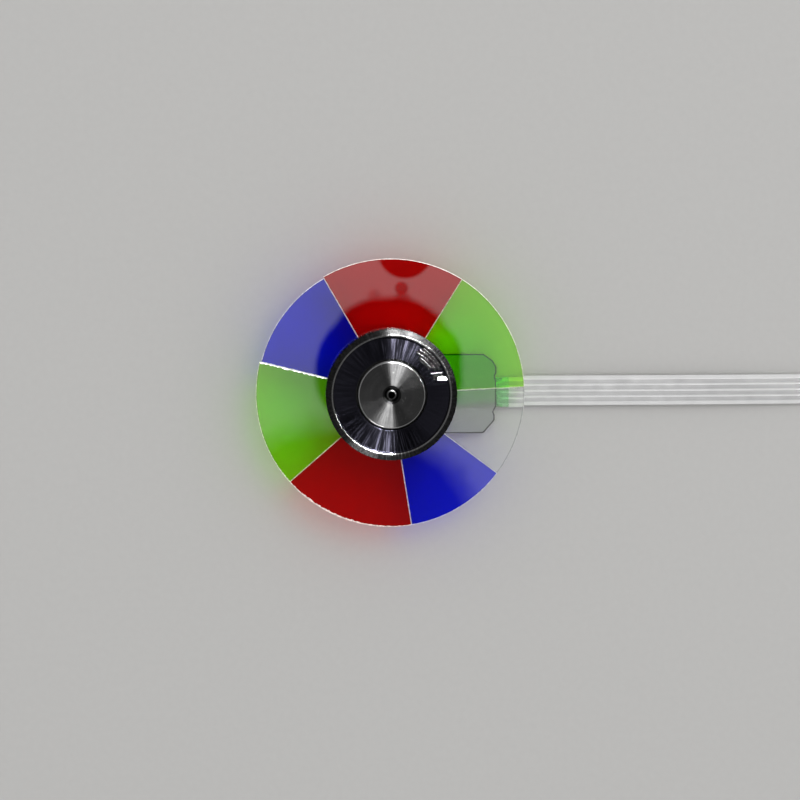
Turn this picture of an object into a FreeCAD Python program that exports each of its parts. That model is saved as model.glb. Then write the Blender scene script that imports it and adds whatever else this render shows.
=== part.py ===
import FreeCAD, Part

import math
import os

os.makedirs("parts", exist_ok=True)

# A projector's color wheel on its small outer-rotor motor, in millimetres, +Z up.
# The origin is on the wheel's axis at the foot of the motor's pilot boss, where the part stands.
# +X runs along the base plate's tongue and the flat cable.

# Driving dimensions: the glass wheel. Angles are in degrees, counter-clockwise from +X.
WHEEL_R = 22.0
GLASS_T = 1.0
JOINT_GAP = 0.06
SEGMENT_ANGLES = {
    "green_segment_right": (2.5, 58.0),
    "red_segment_top": (58.0, 120.0),
    "blue_segment_upper": (120.0, 166.0),
    "green_segment_left": (166.0, 221.0),
    "red_segment_lower": (221.0, 279.0),
    "blue_segment_lower": (279.0, 323.0),
    "clear_segment": (323.0, 362.5),
}
# Segments cut a little shorter than the wheel's radius, and by how much
SEGMENT_SHORT = {"blue_segment_upper": 0.25}

# Hub, clamp ring and the glue lines that hold the glass between them
GLUE_T = 0.1
GLUE_MARGIN = 0.12
GLASS_LAP = 2.07
GLASS_PLAY = 0.1
FLANGE_T = 0.8
FLANGE_INSET = 0.3
SHOULDER_DROP = 0.2
SPIGOT_R = 3.0
BOSS_R = 5.46
BOSS_SINK = 0.05
BOSS_CHAMFER = 0.15
EYE_R = 1.5
EYE_DEPTH = 0.7
EYE_CONE_R = 1.2
EYE_CONE_DEPTH = 0.2
RING_R = 10.67
RING_H = 2.9
RING_GAP = 0.38
RING_LAND = 1.6
RIM_BEVEL = 0.95
RIM_BEVEL_DEPTH = 0.45
RIM_FLAT = 0.17
RIM_SLOPE = 0.15
CHANNEL_DEPTH = 0.85

# Balance glue in the channel: flat-topped beads side by side, and one across their end
GLUE_ANGLES = (28.0, 57.0)
GLUE_BEADS = 3
GLUE_W = 2.03
GLUE_WALL_GAP = 0.12
GLUE_BASE_H = 0.12
GLUE_BEAD_H = 0.42
END_BEAD_W = 0.6
END_BEAD_H = 0.32
END_BEAD_ANGLE = 25.0

# Rotor: yoke cup, ring magnet, shaft, stop washer and index mark
YOKE_WALL = 0.8
YOKE_CORNER = 0.4
YOKE_LIFT = 0.5
WEB_GAP = 0.35
MAGNET_T = 1.05
MAGNET_GLUE = 0.05
MAGNET_LIFT = 0.2
MAGNET_TOP_GAP = 0.3
SHAFT_R = 1.0
SHAFT_DOME = 0.25
SHAFT_PROUD = 0.12
GROOVE_R = 0.8
GROOVE_W = 0.26
WASHER_R = 2.0
WASHER_T = 0.2
WASHER_SLIT = 0.4
MARK_T = 0.07
MARK_H = 2.0
MARK_SPAN = 20.0
MARK_ANGLE = 200.0

# Bearing: holder with its pilot boss, sleeve bearing, thrust pad and thrust cover
PILOT_R = 4.5
PILOT_H = 1.4
PILOT_CHAMFER = 0.2
NECK_R = 3.5
STAKE_R = 3.9
STAKE_H = 0.25
TUBE_R = 3.0
TUBE_GAP = 0.3
TUBE_BORE_R = 2.5
COVER_R = 3.2
COVER_T = 0.6
COVER_RECESS = 0.3
PAD_T = 0.2
THRUST_PLAY = 0.03
WASHER_PLAY = 0.15
BEARING_FIT = 0.02
BEARING_PLAY = 0.02
BEARING_CHAMFER = 0.2
BEARING_SINK = 0.1

# Stator: laminated core, insulators and windings
TEETH = 9
CORE_R = 7.0
CORE_T = 1.6
CORE_FIT = 0.02
CORE_BACK_R = 4.1
TOOTH_W = 1.6
SHOE_T = 0.6
SLOT_MOUTH = 1.0
AIR_GAP = 0.3
INSULATOR_T = 0.15
INSULATOR_INSET = 0.3
COIL_T = 0.5
COIL_LIFT = 0.65
COIL_CORNER = 0.3
COIL_SIDE_GAP = 0.1
COIL_END_GAP = 0.2

# Base plate, with its tongue under the cable
PLATE_R = 10.0
PLATE_T = 1.0
PLATE_FIT = 0.02
TONGUE_REACH = 17.85
TONGUE_LEFT = 6.15
TONGUE_RIGHT = -7.05
TONGUE_CORNER = 2.15
TONGUE_BULGE = (0.62, 1.08)
TONGUE_STEP = 0.27
SMALL_NICK_Y, SMALL_NICK = 2.35, 0.22
LARGE_NICK_Y, LARGE_NICK = -3.5, 0.49
SCREW_PCD = 16.0
SCREW_COUNT = 3
SCREW_HOLE_R = 0.8
SCREW_FIRST_ANGLE = 60.0

# Solder board, coil leads and solder
BOARD_T = 0.25
BOARD_END = 16.8
BOARD_HALF_W = 3.6
BOARD_CORNER = 0.5
LEAD_COUNT = 4
LEAD_R = 0.12
WIRE_FLATS = 10
LEAD_PITCH = 0.6
LEAD_INSET = 0.2
LEAD_HOLE_GAP = 0.06
WINDOW_MARGIN = 0.35
WINDOW_CORNER = 0.3
SOLDER_H = 0.24
PAD_LENGTH = 0.9
PAD_WIDTH = 0.84
PAD_ROUND = 0.1
LEAD_PAD = 0.54

# Flat cable: 4 conductors at 1 mm, soldered under the tongue
CABLE_W = 5.0
CABLE_T = 0.3
CABLE_Y = -0.3
CABLE_PITCH = 1.0
CONDUCTOR_W = 0.7
CONDUCTOR_T = 0.06
CABLE_START = 13.2
TAIL_LENGTH = 1.2
# Points of the route after its start, as (x, z), chosen by hand: out of the tongue nearly
# straight and just clear of the table, in a long low bow, then down onto the table
CABLE_ROUTE = [(28.0, 1.00), (46.0, 1.30), (63.0, 1.10), (79.0, 0.36), (94.0, 0.36)]
ARC_SHARE = 0.45
TAPE_T = 0.08
TAPE_END = 20.0
TAPE_GAP = 0.1
STIFFENER_T = 0.2
STIFFENER_LAP = 4.0
CONTACT_LENGTH = 4.0

# Heights worked out from the foot up
plate_z0 = PILOT_H
plate_z1 = plate_z0 + PLATE_T
coil_z0 = plate_z1 + COIL_LIFT
core_z0 = coil_z0 + COIL_T + INSULATOR_T
core_z1 = core_z0 + CORE_T
coil_z1 = core_z1 + INSULATOR_T + COIL_T
web_z0 = coil_z1 + WEB_GAP
web_z1 = web_z0 + YOKE_WALL
yoke_z0 = plate_z1 + YOKE_LIFT
flange_z1 = web_z1 + FLANGE_T
glass_z0 = flange_z1 + GLUE_T
glass_z1 = glass_z0 + GLASS_T
ring_z0 = glass_z1 + GLUE_T
crest_z = ring_z0 + RING_H
channel_z = crest_z - CHANNEL_DEPTH
boss_z1 = crest_z - BOSS_SINK
eye_z = boss_z1 - EYE_DEPTH
shaft_z1 = eye_z + SHAFT_PROUD
cover_z0 = COVER_RECESS
cover_z1 = cover_z0 + COVER_T
pad_z1 = cover_z1 + PAD_T
shaft_z0 = pad_z1 + THRUST_PLAY
washer_z0 = pad_z1 + WASHER_PLAY + THRUST_PLAY
washer_z1 = washer_z0 + WASHER_T
bearing_z0 = washer_z1 + WASHER_PLAY
tube_z1 = web_z0 - TUBE_GAP
bearing_z1 = tube_z1 - BEARING_SINK
board_z0 = plate_z0 - BOARD_T
cable_z = board_z0 - CABLE_T / 2

# Radii worked out from the middle outwards
magnet_r0 = CORE_R + AIR_GAP
magnet_r1 = magnet_r0 + MAGNET_T
yoke_r0 = magnet_r1 + MAGNET_GLUE
yoke_r1 = yoke_r0 + YOKE_WALL
flange_r = RING_R - FLANGE_INSET
glass_bore_r = RING_R - GLASS_LAP
shoulder_r = glass_bore_r - GLASS_PLAY
ring_bore_r = BOSS_R + RING_GAP
coil_r0 = CORE_BACK_R + COIL_END_GAP
coil_r1 = CORE_R - SHOE_T - COIL_END_GAP
lead_x = coil_r1 - LEAD_INSET
crest_r1 = RING_R - RIM_BEVEL
crest_r0 = crest_r1 - RIM_FLAT
channel_r1 = crest_r0 - RIM_SLOPE
land_r0 = RING_R - RING_LAND

# How near two values are when an edge is picked as lying at a height or along a line
TOUCH = 1e-6

AXIS = FreeCAD.Vector(0, 0, 1)
FOOT = FreeCAD.Vector(0, 0, 0)


def point(r, degrees, z=0.0):
    a = math.radians(degrees)
    return FreeCAD.Vector(r * math.cos(a), r * math.sin(a), z)


def cylinder(r, z0, z1, x=0.0, y=0.0):
    return Part.makeCylinder(r, z1 - z0, FreeCAD.Vector(x, y, z0), AXIS)


def prism(r, z0, z1, x, y):
    """An upright prism of WIRE_FLATS sides, for the finest round things."""
    corners = [FreeCAD.Vector(x, y, z0) + point(r, 360.0 * i / WIRE_FLATS) for i in range(WIRE_FLATS)]
    return Part.Face(Part.makePolygon(corners + corners[:1])).extrude(FreeCAD.Vector(0, 0, z1 - z0))


def tube(r0, r1, z0, z1):
    return cylinder(r1, z0, z1).cut(cylinder(r0, z0, z1))


def block(x0, x1, y0, y1, z0, z1):
    return Part.makeBox(x1 - x0, y1 - y0, z1 - z0, FreeCAD.Vector(x0, y0, z0))


def turned(profile, degrees=360.0, start=0.0):
    """Turns a closed profile of (r, z) points about the axis."""
    corners = [point(r, start, z) for r, z in profile]
    face = Part.Face(Part.makePolygon(corners + corners[:1]))
    return face.revolve(FOOT, AXIS, degrees)


def spun(shape, degrees):
    copy = shape.copy()
    copy.rotate(FOOT, AXIS, degrees)
    return copy


def around(shape, count, first=0.0):
    return [spun(shape, first + 360.0 * i / count) for i in range(count)]


def uprights(shape):
    """Straight edges that run along Z."""
    return [
        e
        for e in shape.Edges
        if e.BoundBox.ZLength > TOUCH and e.BoundBox.XLength + e.BoundBox.YLength < TOUCH
    ]


def sector(r0, r1, start, end, z0, z1, side_gap=0.0):
    """A ring sector whose straight sides lie side_gap inside the radial lines at its ends."""
    inner = math.degrees(math.asin(side_gap / r0))
    outer = math.degrees(math.asin(side_gap / r1))
    middle = (start + end) / 2
    a, b, c = point(r0, start + inner, z0), point(r0, middle, z0), point(r0, end - inner, z0)
    d, e, f = point(r1, start + outer, z0), point(r1, middle, z0), point(r1, end - outer, z0)
    outline = Part.Wire(
        [
            Part.Arc(a, b, c).toShape(),
            Part.makeLine(c, f),
            Part.Arc(f, e, d).toShape(),
            Part.makeLine(d, a),
        ]
    )
    return Part.Face(outline).extrude(FreeCAD.Vector(0, 0, z1 - z0))


def save(name, *solids):
    shape = solids[0] if len(solids) == 1 else Part.makeCompound(list(solids))
    volume = sum(s.Volume for s in shape.Solids)
    print(f"{name}: {len(shape.Solids)} solids, {volume:.3f} mm3, valid {shape.isValid()}")
    shape.exportStep(f"parts/{name}.step")


# Hub: flange under the glass, shoulder in its bore, boss up through the clamp ring
def rotor_hub():
    return turned(
        [
            (SHAFT_R, web_z0),
            (SPIGOT_R, web_z0),
            (SPIGOT_R, web_z1),
            (flange_r, web_z1),
            (flange_r, flange_z1),
            (shoulder_r, flange_z1),
            (shoulder_r, glass_z1 - SHOULDER_DROP),
            (BOSS_R, glass_z1 - SHOULDER_DROP),
            (BOSS_R, boss_z1 - BOSS_CHAMFER),
            (BOSS_R - BOSS_CHAMFER, boss_z1),
            (EYE_R, boss_z1),
            (EYE_R, eye_z),
            (EYE_CONE_R, eye_z),
            (SHAFT_R, eye_z - EYE_CONE_DEPTH),
        ]
    )


# Clamp ring: flat under the rim, a channel for the balance glue and a bevelled crest
def clamp_ring():
    return turned(
        [
            (ring_bore_r, ring_z0),
            (RING_R, ring_z0),
            (RING_R, crest_z - RIM_BEVEL_DEPTH),
            (crest_r1, crest_z),
            (crest_r0, crest_z),
            (channel_r1, channel_z),
            (ring_bore_r, channel_z),
        ]
    )


# Balance glue: parallel beads along the channel, on one low bed, with a bead across their end
def balance_glue():
    outer_r = channel_r1 - GLUE_WALL_GAP
    inner_r = outer_r - GLUE_W
    width = GLUE_W / GLUE_BEADS
    bed_z, top_z = channel_z + GLUE_BASE_H, channel_z + GLUE_BEAD_H
    profile = [(outer_r, channel_z)]
    for i in range(GLUE_BEADS):
        r = outer_r - i * width
        profile += [(r, bed_z), (r - width / 4, top_z), (r - 3 * width / 4, top_z)]
    profile += [(inner_r, bed_z), (inner_r, channel_z)]
    start, end = GLUE_ANGLES
    beads = turned(profile, end - start, start)
    half = END_BEAD_W / 2
    across = block(inner_r, outer_r, -half, half, channel_z, channel_z + END_BEAD_H)
    upper = [e for e in across.Edges if e.BoundBox.ZMin > channel_z + END_BEAD_H - TOUCH]
    return beads, spun(across.makeChamfer(half / 2, upper), END_BEAD_ANGLE)


# Yoke: a drawn steel cup on the hub's spigot
def rotor_yoke():
    return turned(
        [
            (SPIGOT_R, web_z0),
            (yoke_r0, web_z0),
            (yoke_r0, yoke_z0),
            (yoke_r1, yoke_z0),
            (yoke_r1, web_z1 - YOKE_CORNER),
            (yoke_r1 - YOKE_CORNER, web_z1),
            (SPIGOT_R, web_z1),
        ]
    )


# Shaft: domed at both ends, with a groove for the stop washer
def shaft():
    rod = turned(
        [
            (0, shaft_z0),
            (SHAFT_R - SHAFT_DOME, shaft_z0),
            (SHAFT_R, shaft_z0 + SHAFT_DOME),
            (SHAFT_R, shaft_z1 - SHAFT_DOME),
            (SHAFT_R - SHAFT_DOME, shaft_z1),
            (0, shaft_z1),
        ]
    )
    middle = (washer_z0 + washer_z1) / 2
    return rod.cut(tube(GROOVE_R, SHAFT_R + GROOVE_W, middle - GROOVE_W / 2, middle + GROOVE_W / 2))


def stop_washer():
    washer = tube(GROOVE_R, WASHER_R, washer_z0, washer_z1)
    reach = (WASHER_R + GROOVE_R) / 2
    return washer.cut(block(-reach, reach, -WASHER_SLIT / 2, WASHER_SLIT / 2, washer_z0, washer_z1))


# Bearing holder: pilot boss, neck staked over the base plate, seat for the core, tube
def bearing_holder():
    return turned(
        [
            (COVER_R, 0),
            (PILOT_R - PILOT_CHAMFER, 0),
            (PILOT_R, PILOT_CHAMFER),
            (PILOT_R, PILOT_H),
            (NECK_R, PILOT_H),
            (NECK_R, plate_z1),
            (STAKE_R, plate_z1),
            (NECK_R, plate_z1 + STAKE_H),
            (NECK_R, core_z0),
            (TUBE_R, core_z0),
            (TUBE_R, tube_z1),
            (TUBE_BORE_R, tube_z1),
            (TUBE_BORE_R, cover_z1),
            (COVER_R, cover_z1),
        ]
    )


def sleeve_bearing():
    outer, bore = TUBE_BORE_R - BEARING_FIT, SHAFT_R + BEARING_PLAY
    return turned(
        [
            (bore, bearing_z0 + BEARING_CHAMFER),
            (bore + BEARING_CHAMFER, bearing_z0),
            (outer, bearing_z0),
            (outer, bearing_z1),
            (bore + BEARING_CHAMFER, bearing_z1),
            (bore, bearing_z1 - BEARING_CHAMFER),
        ]
    )


# Stator: a ring with teeth, which the core widens to shoes at their tips
def star(bore_r, reach, z0, z1, shoes=()):
    tooth = block(0, reach, -TOOTH_W / 2, TOOTH_W / 2, z0, z1)
    whole = cylinder(CORE_BACK_R, z0, z1).multiFuse(around(tooth, TEETH) + list(shoes))
    return whole.cut(cylinder(bore_r, z0, z1)).removeSplitter()


def stator_core():
    span = 180.0 / TEETH - math.degrees(math.asin(SLOT_MOUTH / 2 / CORE_R))
    shoe = sector(CORE_R - SHOE_T, CORE_R, -span, span, core_z0, core_z1)
    return star(TUBE_R + CORE_FIT, CORE_R - SHOE_T / 2, core_z0, core_z1, around(shoe, TEETH))


def insulator(z0):
    return star(NECK_R + CORE_FIT, CORE_R - INSULATOR_INSET, z0, z0 + INSULATOR_T)


# One winding: a coil with bevelled edges about one tooth, against the insulators
def winding():
    inner = TOOTH_W / 2 + COIL_SIDE_GAP
    outer = inner + COIL_T
    coil = block(coil_r0, coil_r1, -outer, outer, coil_z0, coil_z1)
    long_edges = [e for e in coil.Edges if e.BoundBox.XLength > coil_r1 - coil_r0 - TOUCH]
    coil = coil.makeChamfer(COIL_CORNER, long_edges)
    return coil.cut(block(coil_r0, coil_r1, -inner, inner, core_z0 - INSULATOR_T, core_z1 + INSULATOR_T))


# The tongue's end, counter-clockwise: a cut corner, a deep nick with the end stepped back on
# one side of it, a small nick, and a corner cut in two facets
def tongue_outline():
    x1, y0, y1, c = TONGUE_REACH, TONGUE_RIGHT, TONGUE_LEFT, TONGUE_CORNER
    stepped, large, small = x1 - TONGUE_STEP, LARGE_NICK_Y, SMALL_NICK_Y
    return [
        (0, y0),
        (x1 - c, y0),
        (stepped, y0 + c),
        (stepped, large - LARGE_NICK),
        (x1 - LARGE_NICK, large),
        (x1, large + 2 * LARGE_NICK),
        (x1, small - 3 * SMALL_NICK),
        (x1 - SMALL_NICK, small - SMALL_NICK),
        (x1 - SMALL_NICK, small + SMALL_NICK),
        (x1, small + 3 * SMALL_NICK),
        (x1, y1 - c),
        (x1 - TONGUE_BULGE[0], y1 - TONGUE_BULGE[1]),
        (x1 - c, y1),
        (0, y1),
    ]


# Base plate: a disc with a tongue, tapped holes for the bracket's screws, a window for the leads
def base_plate():
    corners = [FreeCAD.Vector(x, y, plate_z0) for x, y in tongue_outline()]
    tongue = Part.Face(Part.makePolygon(corners + corners[:1])).extrude(FreeCAD.Vector(0, 0, PLATE_T))
    plate = cylinder(PLATE_R, plate_z0, plate_z1).fuse(tongue).removeSplitter()
    hole = cylinder(SCREW_HOLE_R, plate_z0, plate_z1, SCREW_PCD / 2)
    bore = cylinder(NECK_R + PLATE_FIT, plate_z0, plate_z1)
    for cut in [bore, lead_window()] + around(hole, SCREW_COUNT, SCREW_FIRST_ANGLE):
        plate = plate.cut(cut)
    return plate


def lead_rows():
    return [(i - (LEAD_COUNT - 1) / 2) * LEAD_PITCH for i in range(LEAD_COUNT)]


def lead_window():
    half = lead_rows()[-1] + LEAD_R + WINDOW_MARGIN
    x0, x1 = lead_x - LEAD_R - WINDOW_MARGIN, lead_x + LEAD_R + WINDOW_MARGIN
    window = block(x0, x1, -half, half, plate_z0, plate_z1)
    return window.makeChamfer(WINDOW_CORNER, uprights(window))


# Leads: from under the winding at +X straight down through plate and board
def coil_leads():
    return [prism(LEAD_R, board_z0, coil_z0, lead_x, y) for y in lead_rows()]


def solder_board():
    x0 = lead_x - LEAD_R - WINDOW_MARGIN
    board = block(x0, BOARD_END, CABLE_Y - BOARD_HALF_W, CABLE_Y + BOARD_HALF_W, board_z0, plate_z0)
    board = board.makeChamfer(BOARD_CORNER, uprights(board))
    for y in lead_rows():
        board = board.cut(prism(LEAD_R + LEAD_HOLE_GAP, board_z0, plate_z0, lead_x, y))
    return board


def conductor_rows():
    count = int((CABLE_W - CABLE_PITCH) / CABLE_PITCH + 0.5)
    return [CABLE_Y + (i - (count - 1) / 2) * CABLE_PITCH for i in range(count)]


def strips(x0, x1, z0, z1):
    half = CONDUCTOR_W / 2
    return [block(x0, x1, y - half, y + half, z0, z1) for y in conductor_rows()]


def cable_tails():
    half = CONDUCTOR_T / 2
    return strips(CABLE_START - TAIL_LENGTH, CABLE_START, cable_z - half, cable_z + half)


# Solder: a pillow under each lead and round each tail, all on the board's underside
def pillow(x0, length, y, width, low):
    solder = block(x0, x0 + length, y - width / 2, y + width / 2, low, board_z0)
    return solder.makeChamfer(PAD_ROUND / 2, [e for e in solder.Edges if e.BoundBox.ZMax < low + TOUCH])


def solder_joints():
    joints = []
    for y in lead_rows():
        joints.append(pillow(lead_x - LEAD_PAD / 2, LEAD_PAD, y, LEAD_PAD, board_z0 - SOLDER_H))
    low = cable_z - CONDUCTOR_T / 2 - PAD_ROUND
    for y, tail in zip(conductor_rows(), cable_tails()):
        joints.append(pillow(CABLE_START - TAIL_LENGTH, PAD_LENGTH, y, PAD_WIDTH, low).cut(tail))
    return joints


# Flat cable: a strip of straight runs and tangent arcs, bent only across its thickness
def route_stations():
    """The middle line as [(point, normal)], three stations for each arc, with the radii."""
    route = [FreeCAD.Vector(CABLE_START, 0, cable_z)] + [FreeCAD.Vector(x, 0, z) for x, z in CABLE_ROUTE]
    runs = [b - a for a, b in zip(route, route[1:])]
    ways = [FreeCAD.Vector(r).normalize() for r in runs]
    normals = [FreeCAD.Vector(-w.z, 0, w.x) for w in ways]
    stations, radii = [(route[0], normals[0])], []
    for i in range(1, len(route) - 1):
        reach = ARC_SHARE * min(runs[i - 1].Length, runs[i].Length)
        turn = ways[i - 1].getAngle(ways[i])
        radius = reach / math.tan(turn / 2)
        radii.append(radius)
        between = (normals[i - 1] + normals[i]).normalize()
        upward = 1 if ways[i].z > ways[i - 1].z else -1
        sag = radius * (1 / math.cos(turn / 2) - 1)
        stations.append((route[i] - ways[i - 1] * reach, normals[i - 1]))
        stations.append((route[i] + between * (upward * sag), between))
        stations.append((route[i] + ways[i] * reach, normals[i]))
    stations.append((route[-1], normals[-1]))
    return stations, radii


def flat_cable():
    stations, radii = route_stations()

    def side(offset):
        p = [spot + normal * offset for spot, normal in stations]
        edges = [Part.makeLine(p[0], p[1])]
        for i in range(1, len(p) - 1, 3):
            edges.append(Part.Arc(p[i], p[i + 1], p[i + 2]).toShape())
            edges.append(Part.makeLine(p[i + 2], p[i + 3]))
        return p, edges

    above, upper = side(CABLE_T / 2)
    below, lower = side(-CABLE_T / 2)
    ends = [Part.makeLine(above[0], below[0]), Part.makeLine(above[-1], below[-1])]
    section = Part.Face(Part.Wire(Part.__sortEdges__(upper + lower + ends)))
    section.translate(FreeCAD.Vector(0, CABLE_Y - CABLE_W / 2, 0))
    cable = section.extrude(FreeCAD.Vector(0, CABLE_W, 0))
    middle = sum(e.Length for e in side(0)[1])
    print("cable arcs, mm:", [round(r) for r in radii])
    print(f"cable middle line {middle:.2f} mm, volume over section times length "
          f"{cable.Volume / (CABLE_W * CABLE_T * middle):.5f}")
    return cable


def cable_tape():
    """A glossy tape on the cable's top where it comes out from under the board."""
    half, top = CABLE_W / 2, cable_z + CABLE_T / 2
    return block(BOARD_END + TAPE_GAP, TAPE_END, CABLE_Y - half, CABLE_Y + half, top, top + TAPE_T)


def cable_end():
    """The stiffener under the free end, and the bare contacts on it."""
    x, z = CABLE_ROUTE[-1]
    y0, y1 = CABLE_Y - CABLE_W / 2, CABLE_Y + CABLE_W / 2
    top = z - CABLE_T / 2
    stiffener = block(x - STIFFENER_LAP, x + CONTACT_LENGTH, y0, y1, top - STIFFENER_T, top)
    return stiffener, strips(x, x + CONTACT_LENGTH, top, z + CONDUCTOR_T / 2)


for name, (start, end) in SEGMENT_ANGLES.items():
    outer_r = WHEEL_R - SEGMENT_SHORT.get(name, 0.0)
    save(name, sector(glass_bore_r, outer_r, start, end, glass_z0, glass_z1, JOINT_GAP / 2))
save("lower_adhesive", tube(glass_bore_r + GLUE_MARGIN, flange_r - GLUE_MARGIN, flange_z1, glass_z0))
save("upper_adhesive", tube(land_r0 + GLUE_MARGIN, RING_R - GLUE_MARGIN, glass_z1, ring_z0))
save("rotor_hub", rotor_hub())
save("clamp_ring", clamp_ring())
save("balance_glue", *balance_glue())
save("rotor_yoke", rotor_yoke())
save("ring_magnet", tube(magnet_r0, magnet_r1, yoke_z0 + MAGNET_LIFT, web_z0 - MAGNET_TOP_GAP))
save("shaft", shaft())
save("stop_washer", stop_washer())
mark_z0 = (yoke_z0 + web_z1 - MARK_H) / 2
mark_ends = (MARK_ANGLE - MARK_SPAN / 2, MARK_ANGLE + MARK_SPAN / 2)
save("index_mark", sector(yoke_r1, yoke_r1 + MARK_T, *mark_ends, mark_z0, mark_z0 + MARK_H))

save("bearing_holder", bearing_holder())
save("sleeve_bearing", sleeve_bearing())
save("thrust_pad", cylinder(TUBE_BORE_R - BEARING_FIT, cover_z1, pad_z1))
save("thrust_cover", cylinder(COVER_R, cover_z0, cover_z1))
save("stator_core", stator_core())
save("insulator_lower", insulator(core_z0 - INSULATOR_T))
save("insulator_upper", insulator(core_z1))
save("windings", *around(winding(), TEETH))
save("coil_leads", *coil_leads())
save("base_plate", base_plate())
save("solder_board", solder_board())
save("cable_tails", *cable_tails())
save("solder_joints", *solder_joints())
save("flat_cable", flat_cable())
save("cable_tape", cable_tape())
stiffener, contacts = cable_end()
save("cable_stiffener", stiffener)
save("cable_contacts", *contacts)
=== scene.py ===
# %% [markdown]
# A projector's color wheel: seven pieces of coated glass, glued round a hub that spins on a
# motor no bigger than a coin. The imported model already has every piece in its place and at
# its size, and this lesson gives the pieces their looks. Shapes that plain solids only
# sketch, such as glue, cable and glass edges, are built again as finer meshes, and the
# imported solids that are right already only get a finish.

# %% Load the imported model
import math
import random

import bmesh
import bpy
from mathutils import Matrix, Vector, noise


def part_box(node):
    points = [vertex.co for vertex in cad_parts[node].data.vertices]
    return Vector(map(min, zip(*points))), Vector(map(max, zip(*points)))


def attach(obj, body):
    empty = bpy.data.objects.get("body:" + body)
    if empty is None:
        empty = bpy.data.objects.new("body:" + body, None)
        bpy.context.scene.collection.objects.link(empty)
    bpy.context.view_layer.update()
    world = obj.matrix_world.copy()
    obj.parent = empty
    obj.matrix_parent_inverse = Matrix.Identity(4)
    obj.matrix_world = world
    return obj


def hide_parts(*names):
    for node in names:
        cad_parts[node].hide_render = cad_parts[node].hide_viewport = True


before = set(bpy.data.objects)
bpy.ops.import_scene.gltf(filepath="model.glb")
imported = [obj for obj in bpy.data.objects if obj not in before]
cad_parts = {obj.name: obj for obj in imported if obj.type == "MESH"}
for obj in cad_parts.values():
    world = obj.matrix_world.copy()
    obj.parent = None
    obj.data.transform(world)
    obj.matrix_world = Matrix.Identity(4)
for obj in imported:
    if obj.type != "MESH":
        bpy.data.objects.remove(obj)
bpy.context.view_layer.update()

print("nodes loaded:", len(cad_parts))

# %% [markdown]
# The photograph looks down on the wheel from about 30 cm, tilted a few degrees towards its
# upper left. A long lens keeps the round parts round. The camera is made first, because it
# decides how much of the cable is seen.

# %% Camera
MM = 0.001
AIM = Vector((1.51, -1.05, 9.0)) * MM
TILT = math.radians(6.5)
TILT_WAY = Vector((-0.59, 0.80, 0.0)).normalized()
DISTANCE = 0.300

back = TILT_WAY * math.sin(TILT) + Vector((0, 0, math.cos(TILT)))
right = Vector((0, 1, 0)).cross(back).normalized()
camera = bpy.data.objects.new("camera", bpy.data.cameras.new("camera"))
camera.matrix_world = Matrix.Translation(AIM + back * DISTANCE) @ Matrix(
    (right, back.cross(right), back)
).transposed().to_4x4()
camera.data.lens = 82.55
camera.data.sensor_width = 36.0
camera.data.clip_start = 0.01
bpy.context.scene.collection.objects.link(camera)
bpy.context.scene.camera = camera
print("camera at", [round(v, 4) for v in camera.location])

# %% [markdown]
# The wheel lies on a plain pale table in soft daylight-like room light, with one broader
# lamp high on the upper right. The world gives the room's light from all sides, so glass
# and metal have a pale ceiling to mirror. The dark things above the table are the camera
# and what holds it, and hub and glass mirror them: a card with soft dark shapes, seen by
# reflections only, stands in for them. Elsewhere the card is a bright ceiling.

# %% Table and light
def link(obj):
    bpy.context.scene.collection.objects.link(obj)
    return obj


def mesh_object(name, verts, faces):
    mesh = bpy.data.meshes.new(name)
    mesh.from_pydata([Vector(v) for v in verts], [], faces)
    mesh.validate()
    mesh.update()
    return link(bpy.data.objects.new(name, mesh))


def square(name, half, z):
    corners = [(-half, -half, z), (half, -half, z), (half, half, z), (-half, half, z)]
    return mesh_object(name, corners, [(0, 1, 2, 3)])


floor = square("floor", 3.0, 0.0)

ROOM = 0.80
CEILING = 1.5
world = bpy.data.worlds.new("room")
bpy.context.scene.world = world
world.use_nodes = True
world.node_tree.nodes["Background"].inputs["Color"].default_value = (1.0, 1.0, 1.0, 1.0)
world.node_tree.nodes["Background"].inputs["Strength"].default_value = ROOM


def lamp(name, watts, size, distance, azimuth, zenith, width=None):
    """An area lamp that faces the origin, size long level with the table and width across."""
    light = bpy.data.lights.new(name, "AREA")
    light.shape = "RECTANGLE"
    light.energy = watts
    light.size = size
    light.size_y = width or size
    a, z = math.radians(azimuth), math.radians(zenith)
    way = Vector((math.sin(z) * math.cos(a), math.sin(z) * math.sin(a), math.cos(z)))
    obj = link(bpy.data.objects.new(name, light))
    obj.matrix_world = Matrix.Translation(way * distance) @ way.to_track_quat("Z", "Y").to_matrix().to_4x4()
    return obj


lamp("key", 0.60, 0.30, 0.6, 60.0, 27.0)
bpy.context.scene.view_settings.view_transform = "Standard"

CARD_Z = 305.0
card = square("dark_card", 0.12, CARD_Z * MM)
card.visible_camera = card.visible_diffuse = card.visible_transmission = card.visible_shadow = False
print("table and card in place, the card", CARD_Z, "mm up")

# %% [markdown]
# Turned metal shows small lamps as bright fans. Five small lamps in a row, like the tubes of
# a ceiling light, do that here. A long thin one draws lines on the glue, and a wide one on
# the far side lights the ring's lower bevel. They count for reflections only, so the
# table's light stays as soft as it is.

# %% Small lamps for the fans
# azimuth and zenith in degrees, length and width in metres, watts
LAMPS = [
    (81.5, 28, 0.014, 0.03, 13.0),
    (73.5, 28, 0.04, 0.04, 8.0),
    (62.5, 28, 0.04, 0.04, 16.0),
    (53.5, 28, 0.04, 0.04, 6.5),
    (42, 29, 0.05, 0.05, 2.5),
    (30, 30, 0.26, 0.012, 3.6),
    (249, 56, 0.22, 0.22, 3.0),
]
for number, (azimuth, zenith, size, width, watts) in enumerate(LAMPS):
    tube = lamp("tube_" + str(number), watts, size, 0.6, azimuth, zenith, width)
    tube.visible_diffuse = tube.visible_transmission = False
print("small lamps:", len(LAMPS))

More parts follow.
